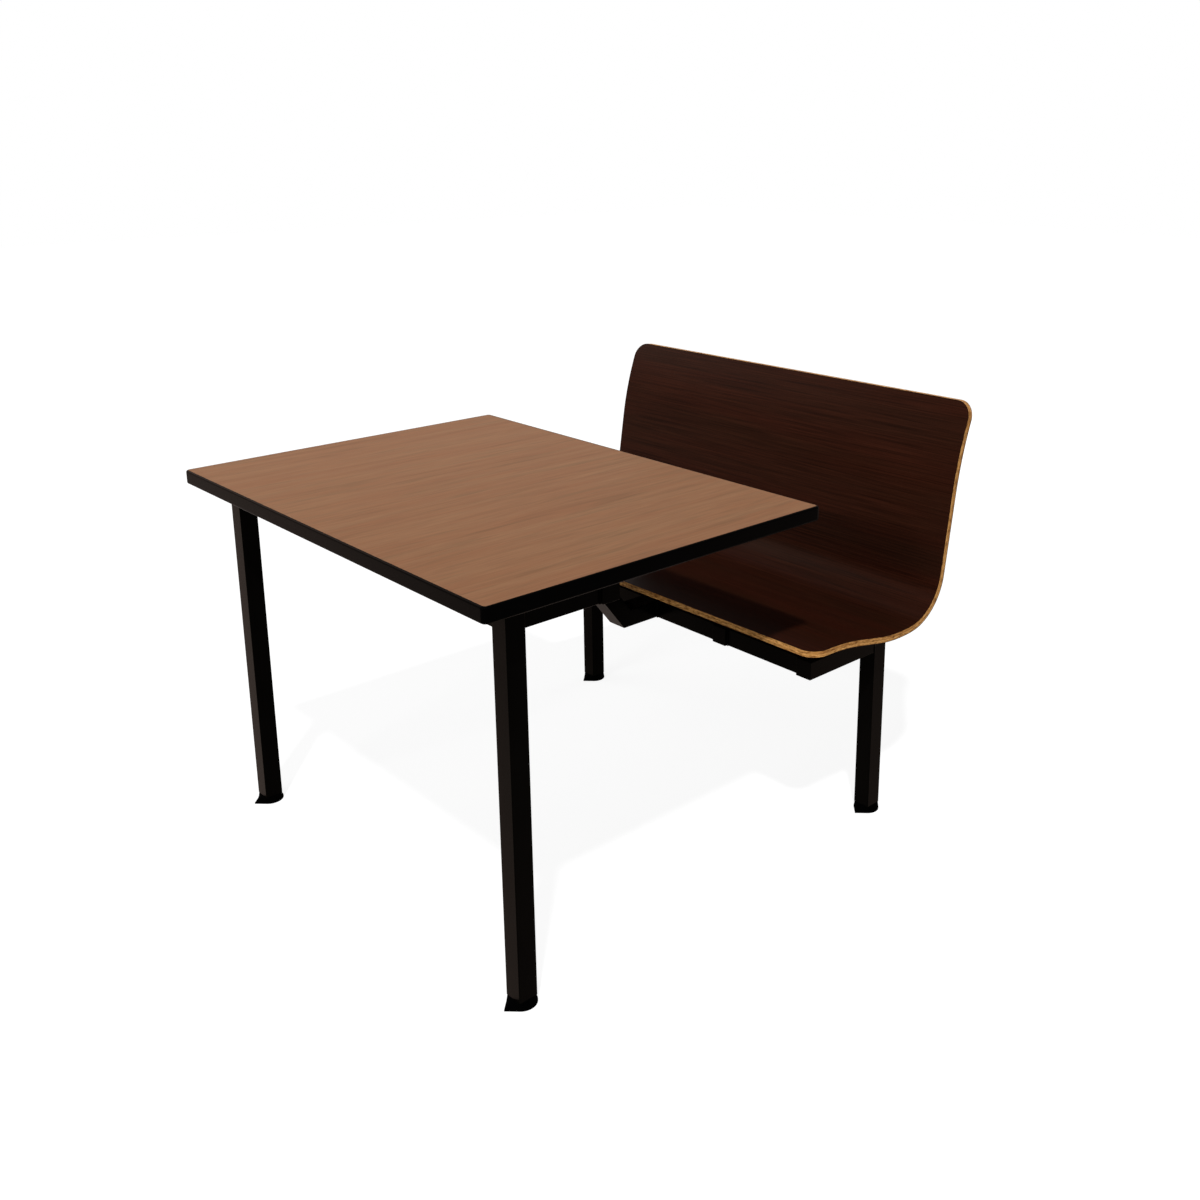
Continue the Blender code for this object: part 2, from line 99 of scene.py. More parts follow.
SHELL_RUNS = ((FRONT_FLAT, 0.0), (ROLL_RADIUS * ROLL_TURN, -ROLL_TURN), (SEAT_FLAT, 0.0),
              (DISH_RADIUS * DISH_TURN, DISH_TURN), (BEND_RADIUS * BEND_TURN, BEND_TURN),
              (LUMBAR_FLAT, 0.0), (CURL_RADIUS * CURL_TURN, -CURL_TURN))

# Seat brackets: bent straps
BRACKET_REACH = 0.062
BRACKET_FLANGE = 0.038
BRACKET_THICKNESS = 0.0048
BRACKET_BEND = 0.0040       # inner radius of a strap's bends
SCREW_SPREAD = 0.008        # from a strap's middle line to each of its two screws
SCREW_SETBACK = BRACKET_FLANGE / 4      # from the flange's front edge to its screws

# Feet
FOOT_RADIUS = 0.027
TOE_REACH = 0.0382          # from the leg's axis to the tip of the toe
FOOT_LIP = 0.0030
FOOT_ROUND = 0.0004
FOOT_LEDGE = 0.0006         # how far the foot's top stands proud of the leg
SOLE_TURNS = (pi / 6, pi / 3, pi / 2)               # angles at which the sole's round edge is drawn
FLANK_SHARES = (0.04, 0.12, 0.3, 0.5, 0.7, 0.9)     # heights at which the flank is drawn, lip to top
SQUARENESS = 8              # power of the foot's squarish top; higher has sharper corners
SOCKET_RADIUS = 0.0053
SOCKET_DEPTH = 0.0090
THREAD_PITCH = 0.0015
THREAD_DEPTH = 0.0008
THREAD_STEPS = 28           # points round one turn of a thread
THREAD_RINGS = 6            # rings along one turn of a thread

# Screws
SCREW_HEAD = 0.0052
SCREW_HEIGHT = 0.0026
SCREW_DOME = 3              # power of the head's dome; higher is flatter
SCREW_COVER = 0.96          # share of the head's radius that its rings cover, round a small flat
RECESS_WIDTH = 0.0009
RECESS_REACH = 0.0030
RECESS_DEPTH = 0.0016

# Facets
CORNER_STEPS = 6
TABLE_CORNER_STEPS = 14
EDGE_STEPS = 8
SHELL_SAG = 0.00001         # how far a facet may lie off a bend of the shell
SHELL_CORNER_STEPS = 20
STRAP_BEND_STEPS = 8
STRAP_CORNER_STEPS = 2
SCREW_STEPS = 48            # points round a screw
SCREW_RINGS = 16            # rings from the rim of a screw's head to its middle
ROUND_STEPS = 96            # points round a foot
SHARP_ANGLE = radians(35)

# Light and floor
KEY_DIRECTION = Vector((-0.376, -0.384, 0.843))
KEY_STRENGTH = 2.5
KEY_ANGLE = radians(3.0)
PANELS = {                  # place, power, width and height of the soft panels, aimed at the seat back
    "side_panel": (Vector((-11.4, -0.8, 5.3)), 700.0, 4.8, 0.9),
    "high_panel": (Vector((-1.25, 2.6, 2.6)), 28.0, 2.0, 2.0),
    "rear_panel": (Vector((4.2, 0.4, 0.7)), 60.0, 2.0, 1.0),
}
PANEL_AIM = Vector((0.57, 0.0, 0.75))
AMBIENT = 0.05
FLOOR_SIZE = 30.0
FLOOR_GREY = 0.6            # shade of the floor where it bounces light onto the booth
FLOOR_ROUGHNESS = 0.9
FLOOR_GLOW = 0.88           # of the floor where the camera sees it
FLOOR_SHADE = 0.20
MIRRORED_GLOW = 0.42        # of the floor where a coat mirrors it
MIRRORED_SHADE = 0.55

# Camera, solved from the photograph
CAMERA_PLACE = Vector((-1.6242, -2.0006, 1.4494))
CAMERA_FORWARD = Vector((0.6618, 0.7033, -0.2597))
IMAGE_SIZE = 1200.0
FOCAL_PIXELS = 1267.93
CENTRE_PIXEL = (675.87, 465.81)
SENSOR = 36.0

# Finishes: tints, spreads and node sockets
WARM_GLOSS = (1.0, 0.87, 0.81, 1.0)     # tint of the black coats' reflections at a grazing angle
WARM_LACQUER = (1.0, 0.74, 0.56, 1.0)   # tint of the veneer's reflections
COAT_SHADES = (0.85, 1.15)              # darkest and lightest share of a black coat's tone
COAT_SPREAD = 0.05                      # how far a black coat's roughness strays
NOISE_LOW, NOISE_HIGH = 0.3, 0.7        # between these lie most of a noise's values
MIX_SHARE, MIX_FIRST, MIX_SECOND, MIX_COLOR = 0, 6, 7, 2    # numbers of a mix node's colour sockets

# Names and axes
SIDES = {"left": -1, "right": 1}
ROWS = ("table", "bench")
X_AXIS, Y_AXIS, Z_AXIS = Vector((1, 0, 0)), Vector((0, 1, 0)), Vector((0, 0, 1))


# Finishes


def finish(name, roughness, specular, metallic=0.0, tint=(1.0, 1.0, 1.0, 1.0)):
    """A node material and its shader, with the values that are the same all over."""
    material = bpy.data.materials.new(name)
    material.use_nodes = True
    shader = material.node_tree.nodes["Principled BSDF"]
    shader.inputs["Roughness"].default_value = roughness
    shader.inputs["Specular IOR Level"].default_value = specular
    shader.inputs["Metallic"].default_value = metallic
    shader.inputs["Specular Tint"].default_value = tint
    return material, shader


def node(material, kind, links=None, **settings):
    """Adds a node; links gives its inputs values or other nodes' outputs, settings its properties."""
    made = material.node_tree.nodes.new(kind)
    for key, value in settings.items():
        setattr(made, key, value)
    for key, value in (links or {}).items():
        if isinstance(value, bpy.types.NodeSocket):
            material.node_tree.links.new(value, made.inputs[key])
        else:
            made.inputs[key].default_value = value
    return made


def linear(red, green, blue):
    """A colour given in screen values from 0 to 255, made linear by the sRGB curve."""
    color = []
    for value in (red, green, blue):
        share = value / 255
        color.append(share / 12.92 if share <= 0.04045 else ((share + 0.055) / 1.055) ** 2.4)
    return color + [1.0]


def place(material, attribute=None):
    """Where the surface is: the object's own coordinates, or a named attribute of the mesh."""
    if attribute:
        return node(material, "ShaderNodeAttribute", attribute_name=attribute).outputs["Vector"]
    return node(material, "ShaderNodeTexCoord").outputs["Object"]


def noise(material, where, scale, detail=3.0, roughness=0.55, distortion=0.0):
    """Noise stretched by a scale of its own along each axis."""
    stretched = node(material, "ShaderNodeMapping", {"Vector": where, "Scale": scale}).outputs["Vector"]
    return node(material, "ShaderNodeTexNoise", {
        "Vector": stretched, "Scale": 1.0, "Detail": detail, "Roughness": roughness, "Distortion": distortion,
    }).outputs["Fac"]


def ramp(material, value, *stops):
    """A colour ramp through (position, colour) stops."""
    made = node(material, "ShaderNodeValToRGB", {"Fac": value})
    elements = made.color_ramp.elements
    while len(elements) < len(stops):
        elements.new(0.5)   # moved to its stop below
    for element, (position, color) in zip(elements, stops):
        element.position = position
        element.color = color
    return made.outputs["Color"]


def mix(material, share, first, second, blend="MIX"):
    """Two colours mixed by a share."""
    made = node(material, "ShaderNodeMix", data_type="RGBA", blend_type=blend)
    for socket, value in ((MIX_SHARE, share), (MIX_FIRST, first), (MIX_SECOND, second)):
        if isinstance(value, bpy.types.NodeSocket):
            material.node_tree.links.new(value, made.inputs[socket])
        else:
            made.inputs[socket].default_value = value
    return made.outputs[MIX_COLOR]


def shaded(material, color, shade):
    """A colour multiplied by a shade."""
    return mix(material, 1.0, color, shade, "MULTIPLY")


def between(material, value, low, high):
    """A value spread from low to high."""
    return node(material, "ShaderNodeMapRange", {
        "Value": value, "From Min": NOISE_LOW, "From Max": NOISE_HIGH, "To Min": low, "To Max": high,
    }).outputs["Result"]


def bump(material, shader, height, strength, distance):
    """Raises the shader's surface by a height."""
    made = node(material, "ShaderNodeBump", {"Height": height, "Strength": strength, "Distance": distance})
    material.node_tree.links.new(made.outputs["Normal"], shader.inputs["Normal"])


def connect(material, output, shader, socket):
    """Feeds a node's output into one of the shader's sockets."""
    material.node_tree.links.new(output, shader.inputs[socket])


def walnut_laminate():
    """Light walnut print with its grain along X under a satin face."""
    material, shader = finish("walnut_laminate", roughness=0.46, specular=0.02)
    where = place(material)
    hue = noise(material, where, (2.6, 52.0, 1.0), detail=4.0, roughness=0.68, distortion=0.2)
    color = ramp(material, hue, (0.36, linear(142, 98, 69)), (0.64, linear(146, 106, 76)))
    shade = noise(material, where, (5.0, 90.0, 1.0), detail=3.0, roughness=0.6, distortion=0.3)
    smoke = ramp(material, shade, (0.50, linear(255, 255, 255)), (0.72, linear(232, 238, 238)))
    color = shaded(material, color, smoke)
    fine = noise(material, where, (13.0, 340.0, 1.0), detail=4.0, roughness=0.65)
    lines = ramp(material, fine, (0.36, linear(235, 232, 229)), (0.64, linear(255, 255, 255)))
    color = shaded(material, color, lines)
    connect(material, color, shader, "Base Color")
    connect(material, between(material, fine, 0.42, 0.50), shader, "Roughness")
    bump(material, shader, fine, strength=0.10, distance=0.0002)
    return material


def dark_veneer():
    """Dark red-brown veneer with its grain across the booth, under satin lacquer."""
    material, shader = finish("dark_veneer", roughness=0.30, specular=0.027, tint=WARM_LACQUER)
    where = place(material, "grain")
    broad = noise(material, where, (16.0, 1.1, 1.0), detail=3.0, roughness=0.55, distortion=0.3)
    color = ramp(material, broad, (0.36, linear(42, 20, 11)), (0.64, linear(47, 20, 11)))
    streaks = noise(material, where, (210.0, 2.2, 1.0), detail=3.0, roughness=0.65, distortion=0.3)
    dark = ramp(material, streaks, (0.36, linear(214, 209, 206)), (0.58, linear(255, 255, 255)))
    color = shaded(material, color, dark)
    fine = noise(material, where, (440.0, 4.0, 1.0), detail=3.0, roughness=0.65)
    pores = ramp(material, fine, (0.36, linear(186, 180, 176)), (0.58, linear(255, 255, 255)))
    color = shaded(material, color, pores)
    connect(material, color, shader, "Base Color")
    connect(material, between(material, fine, 0.27, 0.35), shader, "Roughness")
    bump(material, shader, fine, strength=0.10, distance=0.0002)
    return material


def plywood_edge():
    """Clear-coated plies: alternating tones with long flecks, cut across at the shell's edge."""
    material, shader = finish("plywood_edge", roughness=0.48, specular=0.04)
    where = place(material, "grain")
    plies = noise(material, where, (8.0, 8.0, 420.0), detail=2.0, roughness=0.5)
    color = ramp(material, plies, (0.38, linear(184, 127, 66)), (0.62, linear(236, 179, 107)))
    mottle = noise(material, where, (74.0, 74.0, 260.0), detail=4.0, roughness=0.66)
    patches = ramp(material, mottle, (0.36, linear(150, 130, 104)), (0.50, linear(228, 222, 212)),
                   (0.62, linear(255, 255, 255)))
    color = shaded(material, color, patches)
    flecks = noise(material, where, (110.0, 110.0, 520.0), detail=3.0, roughness=0.6)
    shine = ramp(material, flecks, (0.56, linear(0, 0, 0)), (0.68, linear(84, 80, 72)))
    color = mix(material, 0.7, color, shine, "ADD")
    connect(material, color, shader, "Base Color")
    connect(material, between(material, flecks, 0.42, 0.56), shader, "Roughness")
    bump(material, shader, flecks, strength=0.25, distance=0.0003)
    return material


def black_coat(name, tone, roughness, metallic, grain, strength):
    """A near-black coat or plastic that shines only at a grazing angle, with a fine grain."""
    material, shader = finish(name, roughness, specular=0.0, metallic=metallic, tint=WARM_GLOSS)
    where = place(material)
    fine = noise(material, where, (grain, grain, grain), detail=2.0, roughness=0.6)
    cloud = noise(material, where, (9.0, 9.0, 9.0), detail=2.0)
    low, high = (linear(*(value * share for value in tone)) for share in COAT_SHADES)
    connect(material, ramp(material, cloud, (0.35, low), (0.65, high)), shader, "Base Color")
    sheen = between(material, fine, roughness - COAT_SPREAD, roughness + COAT_SPREAD)
    connect(material, sheen, shader, "Roughness")
    bump(material, shader, fine, strength, distance=0.0003)
    return material


def backer_sheet():
    """Dark balancing sheet under the tabletop, faintly mottled."""
    material, shader = finish("backer_sheet", roughness=0.6, specular=0.3)
    where = place(material)
    mottle = noise(material, where, (60.0, 60.0, 60.0), detail=4.0)
    connect(material, ramp(material, mottle, (0.35, linear(40, 37, 35)), (0.65, linear(52, 48, 45))),
            shader, "Base Color")
    fine = noise(material, where, (700.0, 700.0, 700.0), detail=2.0)
    bump(material, shader, fine, strength=0.2, distance=0.0003)
    return material


def particle_board():
    """Pressed chips, seen only if the top is taken apart."""
    material, shader = finish("particle_board", roughness=0.8, specular=0.2)
    where = place(material)
    cells = node(material, "ShaderNodeTexVoronoi", {"Vector": where, "Scale": 260.0})
    connect(material, mix(material, 0.35, linear(176, 142, 98), cells.outputs["Color"], "SOFT_LIGHT"),
            shader, "Base Color")
    bump(material, shader, cells.outputs["Distance"], strength=0.4, distance=0.0006)
    return material


def zinc_plate():
    """Bright zinc with a faint cloudy passivation."""
    material, shader = finish("zinc_plate", roughness=0.32, specular=0.5, metallic=1.0)
    where = place(material)
    cloud = noise(material, where, (120.0, 120.0, 120.0), detail=3.0)
    connect(material, ramp(material, cloud, (0.3, linear(176, 178, 180)), (0.7, linear(206, 206, 202))),
            shader, "Base Color")
    connect(material, between(material, cloud, 0.26, 0.40), shader, "Roughness")
    return material


LAMINATE = walnut_laminate()
VENEER = dark_veneer()
PLYWOOD = plywood_edge()
STEEL = black_coat("black_powder_coat", tone=(6, 5, 4), roughness=0.20, metallic=0.32,
                   grain=800.0, strength=0.03)
EDGE = black_coat("black_edge_plastic", tone=(3, 3, 3), roughness=0.24, metallic=0.24,
                  grain=1400.0, strength=0.03)
CAP = black_coat("black_cap_plastic", tone=(6, 5, 4), roughness=0.22, metallic=0.30,
                 grain=1100.0, strength=0.03)
NYLON = black_coat("black_nylon", tone=(2, 2, 2), roughness=0.50, metallic=0.04,
                   grain=1100.0, strength=0.15)
BACKER = backer_sheet()
BOARD = particle_board()
ZINC = zinc_plate()


# Meshes


def skin(bm, loops, ring=False, grains=None):
    """Adds one closed body through successive loops of points.

    A ring joins the last loop to the first; other bodies get a cap at each end.
    grains gives each point its place in the wood.
    """
    layer = bm.verts.layers.float_vector.get("grain") if grains else None
    rows = []
    for which, loop in enumerate(loops):
        row = [bm.verts.new(point) for point in loop]
        for vert, grain in zip(row, grains[which] if grains else ()):
            vert[layer] = grain
        rows.append(row)
    pairs = list(zip(rows, rows[1:]))
    if ring:
        pairs.append((rows[-1], rows[0]))
    else:
        bm.faces.new(rows[0])
        bm.faces.new(rows[-1])
    for row, following in pairs:
        for i in range(len(row)):
            j = (i + 1) % len(row)
            bm.faces.new((row[i], row[j], following[j], following[i]))


def piece(name, bm, material, body="booth", nodes=()):
    """Makes an object of a mesh, on a body of the frame, in place of the frame's nodes."""
    bmesh.ops.recalc_face_normals(bm, faces=bm.faces)
    mesh = bpy.data.meshes.new(name)
    bm.to_mesh(mesh)
    bm.free()
    mesh.shade_smooth()
    mesh.set_sharp_from_angle(angle=SHARP_ANGLE)
    mesh.materials.append(material)
    made = bpy.data.objects.new(name, mesh)
    bpy.context.scene.collection.objects.link(made)
    made.modifiers.new("weighted_normals", "WEIGHTED_NORMAL").keep_sharp = True
    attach(made, body)
    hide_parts(*nodes)


def rounded_rectangle(width, height, corner, steps=CORNER_STEPS):
    """Points of a rectangle with round corners, about its middle."""
    corner = max(corner, LEAST_CORNER)
    points = []
    for quarter, (side, end) in enumerate(((1, 1), (-1, 1), (-1, -1), (1, -1))):
        for step in range(steps + 1):
            angle = (quarter + step / steps) * pi / 2
            points.append((side * (width / 2 - corner) + corner * cos(angle),
                           end * (height / 2 - corner) + corner * sin(angle)))
    return points


def ring_flat(centre, side, other, radius, steps):
    """A plain circle of points."""
    return [centre + (side * cos(a) + other * sin(a)) * radius
            for a in (2 * pi * step / steps for step in range(steps))]


def quarter_turns(steps):
    """Angles from 0 to a quarter turn, in even steps."""
    return [step / steps * pi / 2 for step in range(steps + 1)]


def polar(radius_at, height):
    """A loop at one height whose radius follows the angle about the axis."""
    angles = [2 * pi * step / ROUND_STEPS for step in range(ROUND_STEPS)]
    return [Vector((radius_at(a) * cos(a), radius_at(a) * sin(a), height)) for a in angles]


def middle(name):
    """The middle of a frame node's box."""
    low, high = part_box(name)
    return (low + high) / 2


def lay_of(name):
    """Ends of a straight tube, the axis across it and its section, from its node's box."""
    low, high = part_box(name)
    size = high - low
    along = max(range(3), key=lambda axis: size[axis])
    across = 0 if along == 1 else 1
    upright = 3 - along - across    # the axis that is left, as the three add up to 3
    half = Vector((0, 0, 0))
    half[along] = size[along] / 2
    start, end = middle(name) - half, middle(name) + half
    return start, end, (X_AXIS, Y_AXIS)[across], (size[across], size[upright], TUBE_CORNER)


# Steel frame


def tube_body(bm, start, end, across, section, slopes=(0.0, 0.0)):
    """Adds an open tube; slopes tilt its end cuts."""
    along = (end - start).normalized()
    upward = along.cross(across)
    width, height, corner = section
    loops = []
    for inset, where, slope in ((0.0, start, slopes[0]), (0.0, end, slopes[1]),
                                (TUBE_WALL, end, slopes[1]), (TUBE_WALL, start, slopes[0])):
        outline = rounded_rectangle(width - 2 * inset, height - 2 * inset, corner - inset)
        loops.append([where + across * u + (upward + along * slope) * v for u, v in outline])
    skin(bm, loops, ring=True)


def make_straight_tubes():
    """Tubes that run along one axis; all but the legs are drawn on by the gap to what they meet."""
    names = ["table_end_rail", "table_cross_tube", "bench_rear_rail"]
    for side in SIDES:
        names += [f"table_leg_{side}", f"table_side_rail_{side}", f"bench_leg_{side}",
                  f"bench_side_tube_{side}", f"bench_mid_tube_{side}",
                  f"bench_front_rail_inner_{side}", f"bench_front_rail_outer_{side}"]
    for name in names:
        start, end, across, section = lay_of(name)
        along = (end - start).normalized()
        join = along * (0.0 if "leg" in name else JOIN)
        bm = bmesh.new()
        tube_body(bm, start - join, end + join, across, section)
        piece(f"{name}_tube", bm, STEEL, nodes=[name])


def beam_line():
    """Bends, mitre and section of the beam, worked out from the boxes of its two level runs."""
    (upper_low, upper_high), (lower_low, lower_high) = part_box("beam_upper"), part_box("beam_lower")
    height = upper_high.z - upper_low.z
    rise = upper_high.z - lower_high.z
    reach = lower_low.x - upper_high.x
    mitre = (sqrt(reach ** 2 + (rise + 2 * height) * rise) - reach) / (rise + 2 * height)
    upper = Vector((upper_high.x - mitre * height / 2, 0.0, upper_high.z - height / 2))
    lower = Vector((lower_low.x + mitre * height / 2, 0.0, lower_high.z - height / 2))
    return upper, lower, mitre, (upper_high.y - upper_low.y, height, TUBE_CORNER)


def make_beam():
    """The Z-shaped beam between table and bench: two level runs and a riser, mitred to each other."""
    upper, lower, mitre, section = beam_line()
    start = Vector((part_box("beam_upper")[0].x - JOIN, 0.0, upper.z))
    end = Vector((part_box("beam_lower")[1].x + JOIN, 0.0, lower.z))
    runs = {"beam_upper": (start, upper, (0.0, mitre)), "beam_riser": (upper, lower, (-mitre, -mitre)),
            "beam_lower": (lower, end, (mitre, 0.0))}
    for name, (first, last, slopes) in runs.items():
        bm = bmesh.new()
        tube_body(bm, first, last, Y_AXIS, section, slopes)
        piece(f"{name}_tube", bm, STEEL, nodes=[name])


def bead_along(bm, points):
    """Adds a rippled weld bead along a line through points."""
    path = resampled(points, BEAD_STEP)
    loops = []
    travelled = 0.0
    for i, point in enumerate(path):
        before = path[max(i - 1, 0)]
        after = path[min(i + 1, len(path) - 1)]
        along = (after - before).normalized()
        side = along.cross(X_AXIS if abs(along.x) < MOSTLY_X else Y_AXIS).normalized()
        other = along.cross(side)
        travelled += (point - before).length
        swell = BEAD * (1 + BEAD_RIPPLE * sin(2 * pi * travelled / BEAD_PITCH))
        loops.append(ring_flat(point, side, other, swell, BEAD_STEPS))
    skin(bm, loops)


def resampled(points, step):
    """A path with points at even steps along it."""
    lengths = [0.0]
    for first, second in zip(points, points[1:]):
        lengths.append(lengths[-1] + (second - first).length)
    count = max(2, round(lengths[-1] / step))
    path, span = [], 0
    for i in range(count + 1):
        target = lengths[-1] * i / count
        while span < len(points) - 2 and lengths[span + 1] < target:
            span += 1
        share = (target - lengths[span]) / max(lengths[span + 1] - lengths[span], LEAST_SPAN)
        path.append(points[span].lerp(points[span + 1], share))
    return path


def hanging_seam(where, across, section):
    """Path round a tube's end that leaves out its top side."""
    width, height, corner = section
    outline = rounded_rectangle(width, height, corner)
    lower_half = outline[len(outline) // 2:]
    side = across * (width / 2)
    top = Z_AXIS * (height / 2 - corner)
    path = [where + across * u + Z_AXIS * v for u, v in lower_half]
    return [where - side + top] + path + [where + side + top]


def make_welds():
    """Beads where tubes, tabs and brackets are welded on."""
    bm = bmesh.new()
    names = ["table_end_rail", "bench_rear_rail"]
    for side in SIDES:
        names += [f"table_side_rail_{side}", f"bench_front_rail_inner_{side}",
                  f"bench_front_rail_outer_{side}"]
    seams = []
    for name in names:
        start, end, across, section = lay_of(name)
        seams += [(start, across, section), (end, across, section)]
    for side in SIDES:
        for where in ("side", "mid"):
            _, end, across, section = lay_of(f"bench_{where}_tube_{side}")
            seams.append((end, across, section))
    upper, lower, _, section = beam_line()
    seams.append((Vector((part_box("beam_upper")[0].x, 0.0, upper.z)), Y_AXIS, section))
    seams.append((Vector((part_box("beam_lower")[1].x, 0.0, lower.z)), Y_AXIS, section))
    for where, across, section in seams:
        bead_along(bm, hanging_seam(where, across, section))
    for side, sign in SIDES.items():
        for kind in ("end", "cross"):
            low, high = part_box(f"table_tab_{kind}_{side}")
            ends = [Vector((low.x, y, low.z)) for y in (low.y + TAB_CORNER, high.y - TAB_CORNER)]
            bead_along(bm, ends)
        low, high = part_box(f"table_tab_beam_{side}")
        y = low.y if sign > 0 else high.y
        ends = [Vector((x, y, low.z)) for x in (low.x + TAB_CORNER, high.x - TAB_CORNER)]
        bead_along(bm, ends)
        for kind in ("side", "mid"):
            low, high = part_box(f"seat_bracket_{kind}_{side}")
            for y in (low.y, high.y):
                ends = [Vector((x, y, low.z)) for x in (high.x - BRACKET_FLANGE, high.x - BEAD)]
                bead_along(bm, ends)
    piece("frame_welds", bm, STEEL)


def make_caps():
    """Plastic caps on the open tube ends."""
    for side, sign in SIDES.items():
        make_cap(f"cross_tube_cap_{side}", Y_AXIS * sign, X_AXIS)
        for where in ("side", "mid"):
            make_cap(f"bench_{where}_cap_{side}", -X_AXIS, Y_AXIS)


def make_cap(name, outward, across):
    """One cap: a plug in the tube and a head with a rounded rim that faces outward."""
    low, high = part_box(name)
    size = high - low
    upward = outward.cross(across)
    face = middle(name) + outward * (abs(size.dot(outward)) / 2)
    width, height = abs(size.dot(across)), size.z
    levels = [(-CAP_HEAD - CAP_PLUG, TUBE_WALL), (-CAP_HEAD, TUBE_WALL), (-CAP_HEAD, 0.0)]
    levels += [(-CAP_ROUND * (1 - sin(turn)), CAP_ROUND * (1 - cos(turn)))
               for turn in quarter_turns(EDGE_STEPS)]
    loops = []
    for depth, inset in levels:
        outline = rounded_rectangle(width - 2 * inset, height - 2 * inset, TUBE_CORNER - inset)
        loops.append([face + outward * depth + across * u + upward * v for u, v in outline])
    bm = bmesh.new()
    skin(bm, loops)
    piece(f"{name}_moulding", bm, CAP, nodes=[name])


def make_tabs():
    """Mounting tabs with eased edges, and the screws that hold the tabletop."""
    screws = bmesh.new()
    for side in SIDES:
        for kind in ("end", "cross", "beam"):
            name = f"table_tab_{kind}_{side}"
            low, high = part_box(name)
            size = high - low
            centre = middle(name)
            loops = []
            for inset, z in ((PLATE_EASE, low.z), (0.0, low.z + PLATE_EASE), (0.0, high.z)):
                outline = rounded_rectangle(size.x - 2 * inset, size.y - 2 * inset, TAB_CORNER - inset)
                loops.append([Vector((centre.x + u, centre.y + v, z)) for u, v in outline])
            for z in (high.z, low.z):
                outline = rounded_rectangle(TAB_HOLE, TAB_HOLE, TAB_HOLE / 2)
                loops.append([Vector((centre.x + u, centre.y + v, z)) for u, v in outline])
            bm = bmesh.new()
            skin(bm, loops, ring=True)
            piece(f"{name}_plate", bm, STEEL, nodes=[name])
            add_screw(screws, Vector((centre.x, centre.y, low.z)), -Z_AXIS, high.z - low.z)
    piece("tabletop_screws", screws, ZINC)


def add_screw(bm, seat, outward, shank):
    """Adds a pan-head screw with a cross recess, its head standing on a seat point."""
    side = outward.orthogonal().normalized()
    other = outward.cross(side)

    def ring(radius, height):
        """A ring of the head, sunk where it crosses the recess."""
        loop = []
        for step in range(SCREW_STEPS):
            angle = 2 * pi * step / SCREW_STEPS
            u, v = radius * cos(angle), radius * sin(angle)
            narrow, wide = sorted((abs(u), abs(v)))
            sunk = narrow < RECESS_WIDTH and wide < RECESS_REACH and radius < RECESS_REACH
            drop = RECESS_DEPTH if sunk else 0.0
            loop.append(seat + side * u + other * v + outward * (height - drop))
        return loop

    shank_radius = TAB_HOLE / 2 - JOIN
    tip = seat - outward * shank
    loops = [ring_flat(centre, side, other, radius, SCREW_STEPS)
             for centre, radius in ((tip, shank_radius), (seat, shank_radius), (seat, SCREW_HEAD))]
    for step in range(SCREW_RINGS):
        turn = (step + 1) / SCREW_RINGS
        radius = SCREW_HEAD * (1 - turn * SCREW_COVER)
        height = SCREW_HEIGHT * sqrt(max(0.0, 1 - (radius / SCREW_HEAD) ** SCREW_DOME))
        loops.append(ring(radius, height))
    skin(bm, loops)


# Tabletop


def make_tabletop():
    """Laminate face and moulded edge band; the board and backer keep their solids."""
    low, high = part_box("tabletop_edge_band")
    size = high - low
    centre = middle("tabletop_edge_band")
    thickness = size.z

    def outline(inset, height):
        """The top's outline at a height, drawn in by an inset."""
        points = rounded_rectangle(size.x - 2 * inset, size.y - 2 * inset, TABLE_CORNER - inset,
                                   TABLE_CORNER_STEPS)
        return [Vector((centre.x + u, centre.y + v, low.z + height)) for u, v in points]

    lower = [(EDGE_ROUND * (1 - sin(turn)), EDGE_ROUND * (1 - cos(turn)))
             for turn in quarter_turns(EDGE_STEPS)]
    upper = [(inset, thickness - height) for inset, height in reversed(lower)]
    band = [(EDGE_BAND, 0.0)] + lower + upper + [(EDGE_BAND, thickness)]
    bm = bmesh.new()
    skin(bm, [outline(*level) for level in band], ring=True)
    piece("edge_band_moulding", bm, EDGE, nodes=["tabletop_edge_band"])

    sheet_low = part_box("tabletop_laminate")[0].z - JOIN - low.z
    inside = EDGE_BAND + JOIN / 2
    sheet = [(inside, sheet_low), (inside, thickness - LAMINATE_EASE), (inside + LAMINATE_EASE, thickness)]
    bm = bmesh.new()
    skin(bm, [outline(*level) for level in sheet])
    piece("laminate_face", bm, LAMINATE, nodes=["tabletop_laminate"])


# Moulded shell


def shell_point(distance, depth):
    """Point (x, z) at a distance along the shell's upper face, or straight on, and a depth below it."""
    x, z, heading = SHELL_FRONT_X, SHELL_FRONT_HEIGHT, 0.0
    for length, turn in SHELL_RUNS:
        step = min(distance, length)
        bend = turn * step / length
        if turn:
            radius = length / turn
            x += radius * (sin(heading + bend) - sin(heading))
            z += radius * (cos(heading) - cos(heading + bend))
        else:
            x += step * cos(heading)
            z += step * sin(heading)
        heading += bend
        distance -= step
    x += distance * cos(heading)
    z += distance * sin(heading)
    return x + depth * sin(heading), z - depth * cos(heading)


def trimmed_point(distance, depth):
    """Point of the shell, drawn on near the top edge by the lean of that edge's cut."""
    into_corner = max(0.0, 1 - (STATIONS[-1] - distance) / SHELL_CORNER)
    return shell_point(distance + depth * tan(TOP_TRIM) * into_corner, depth)


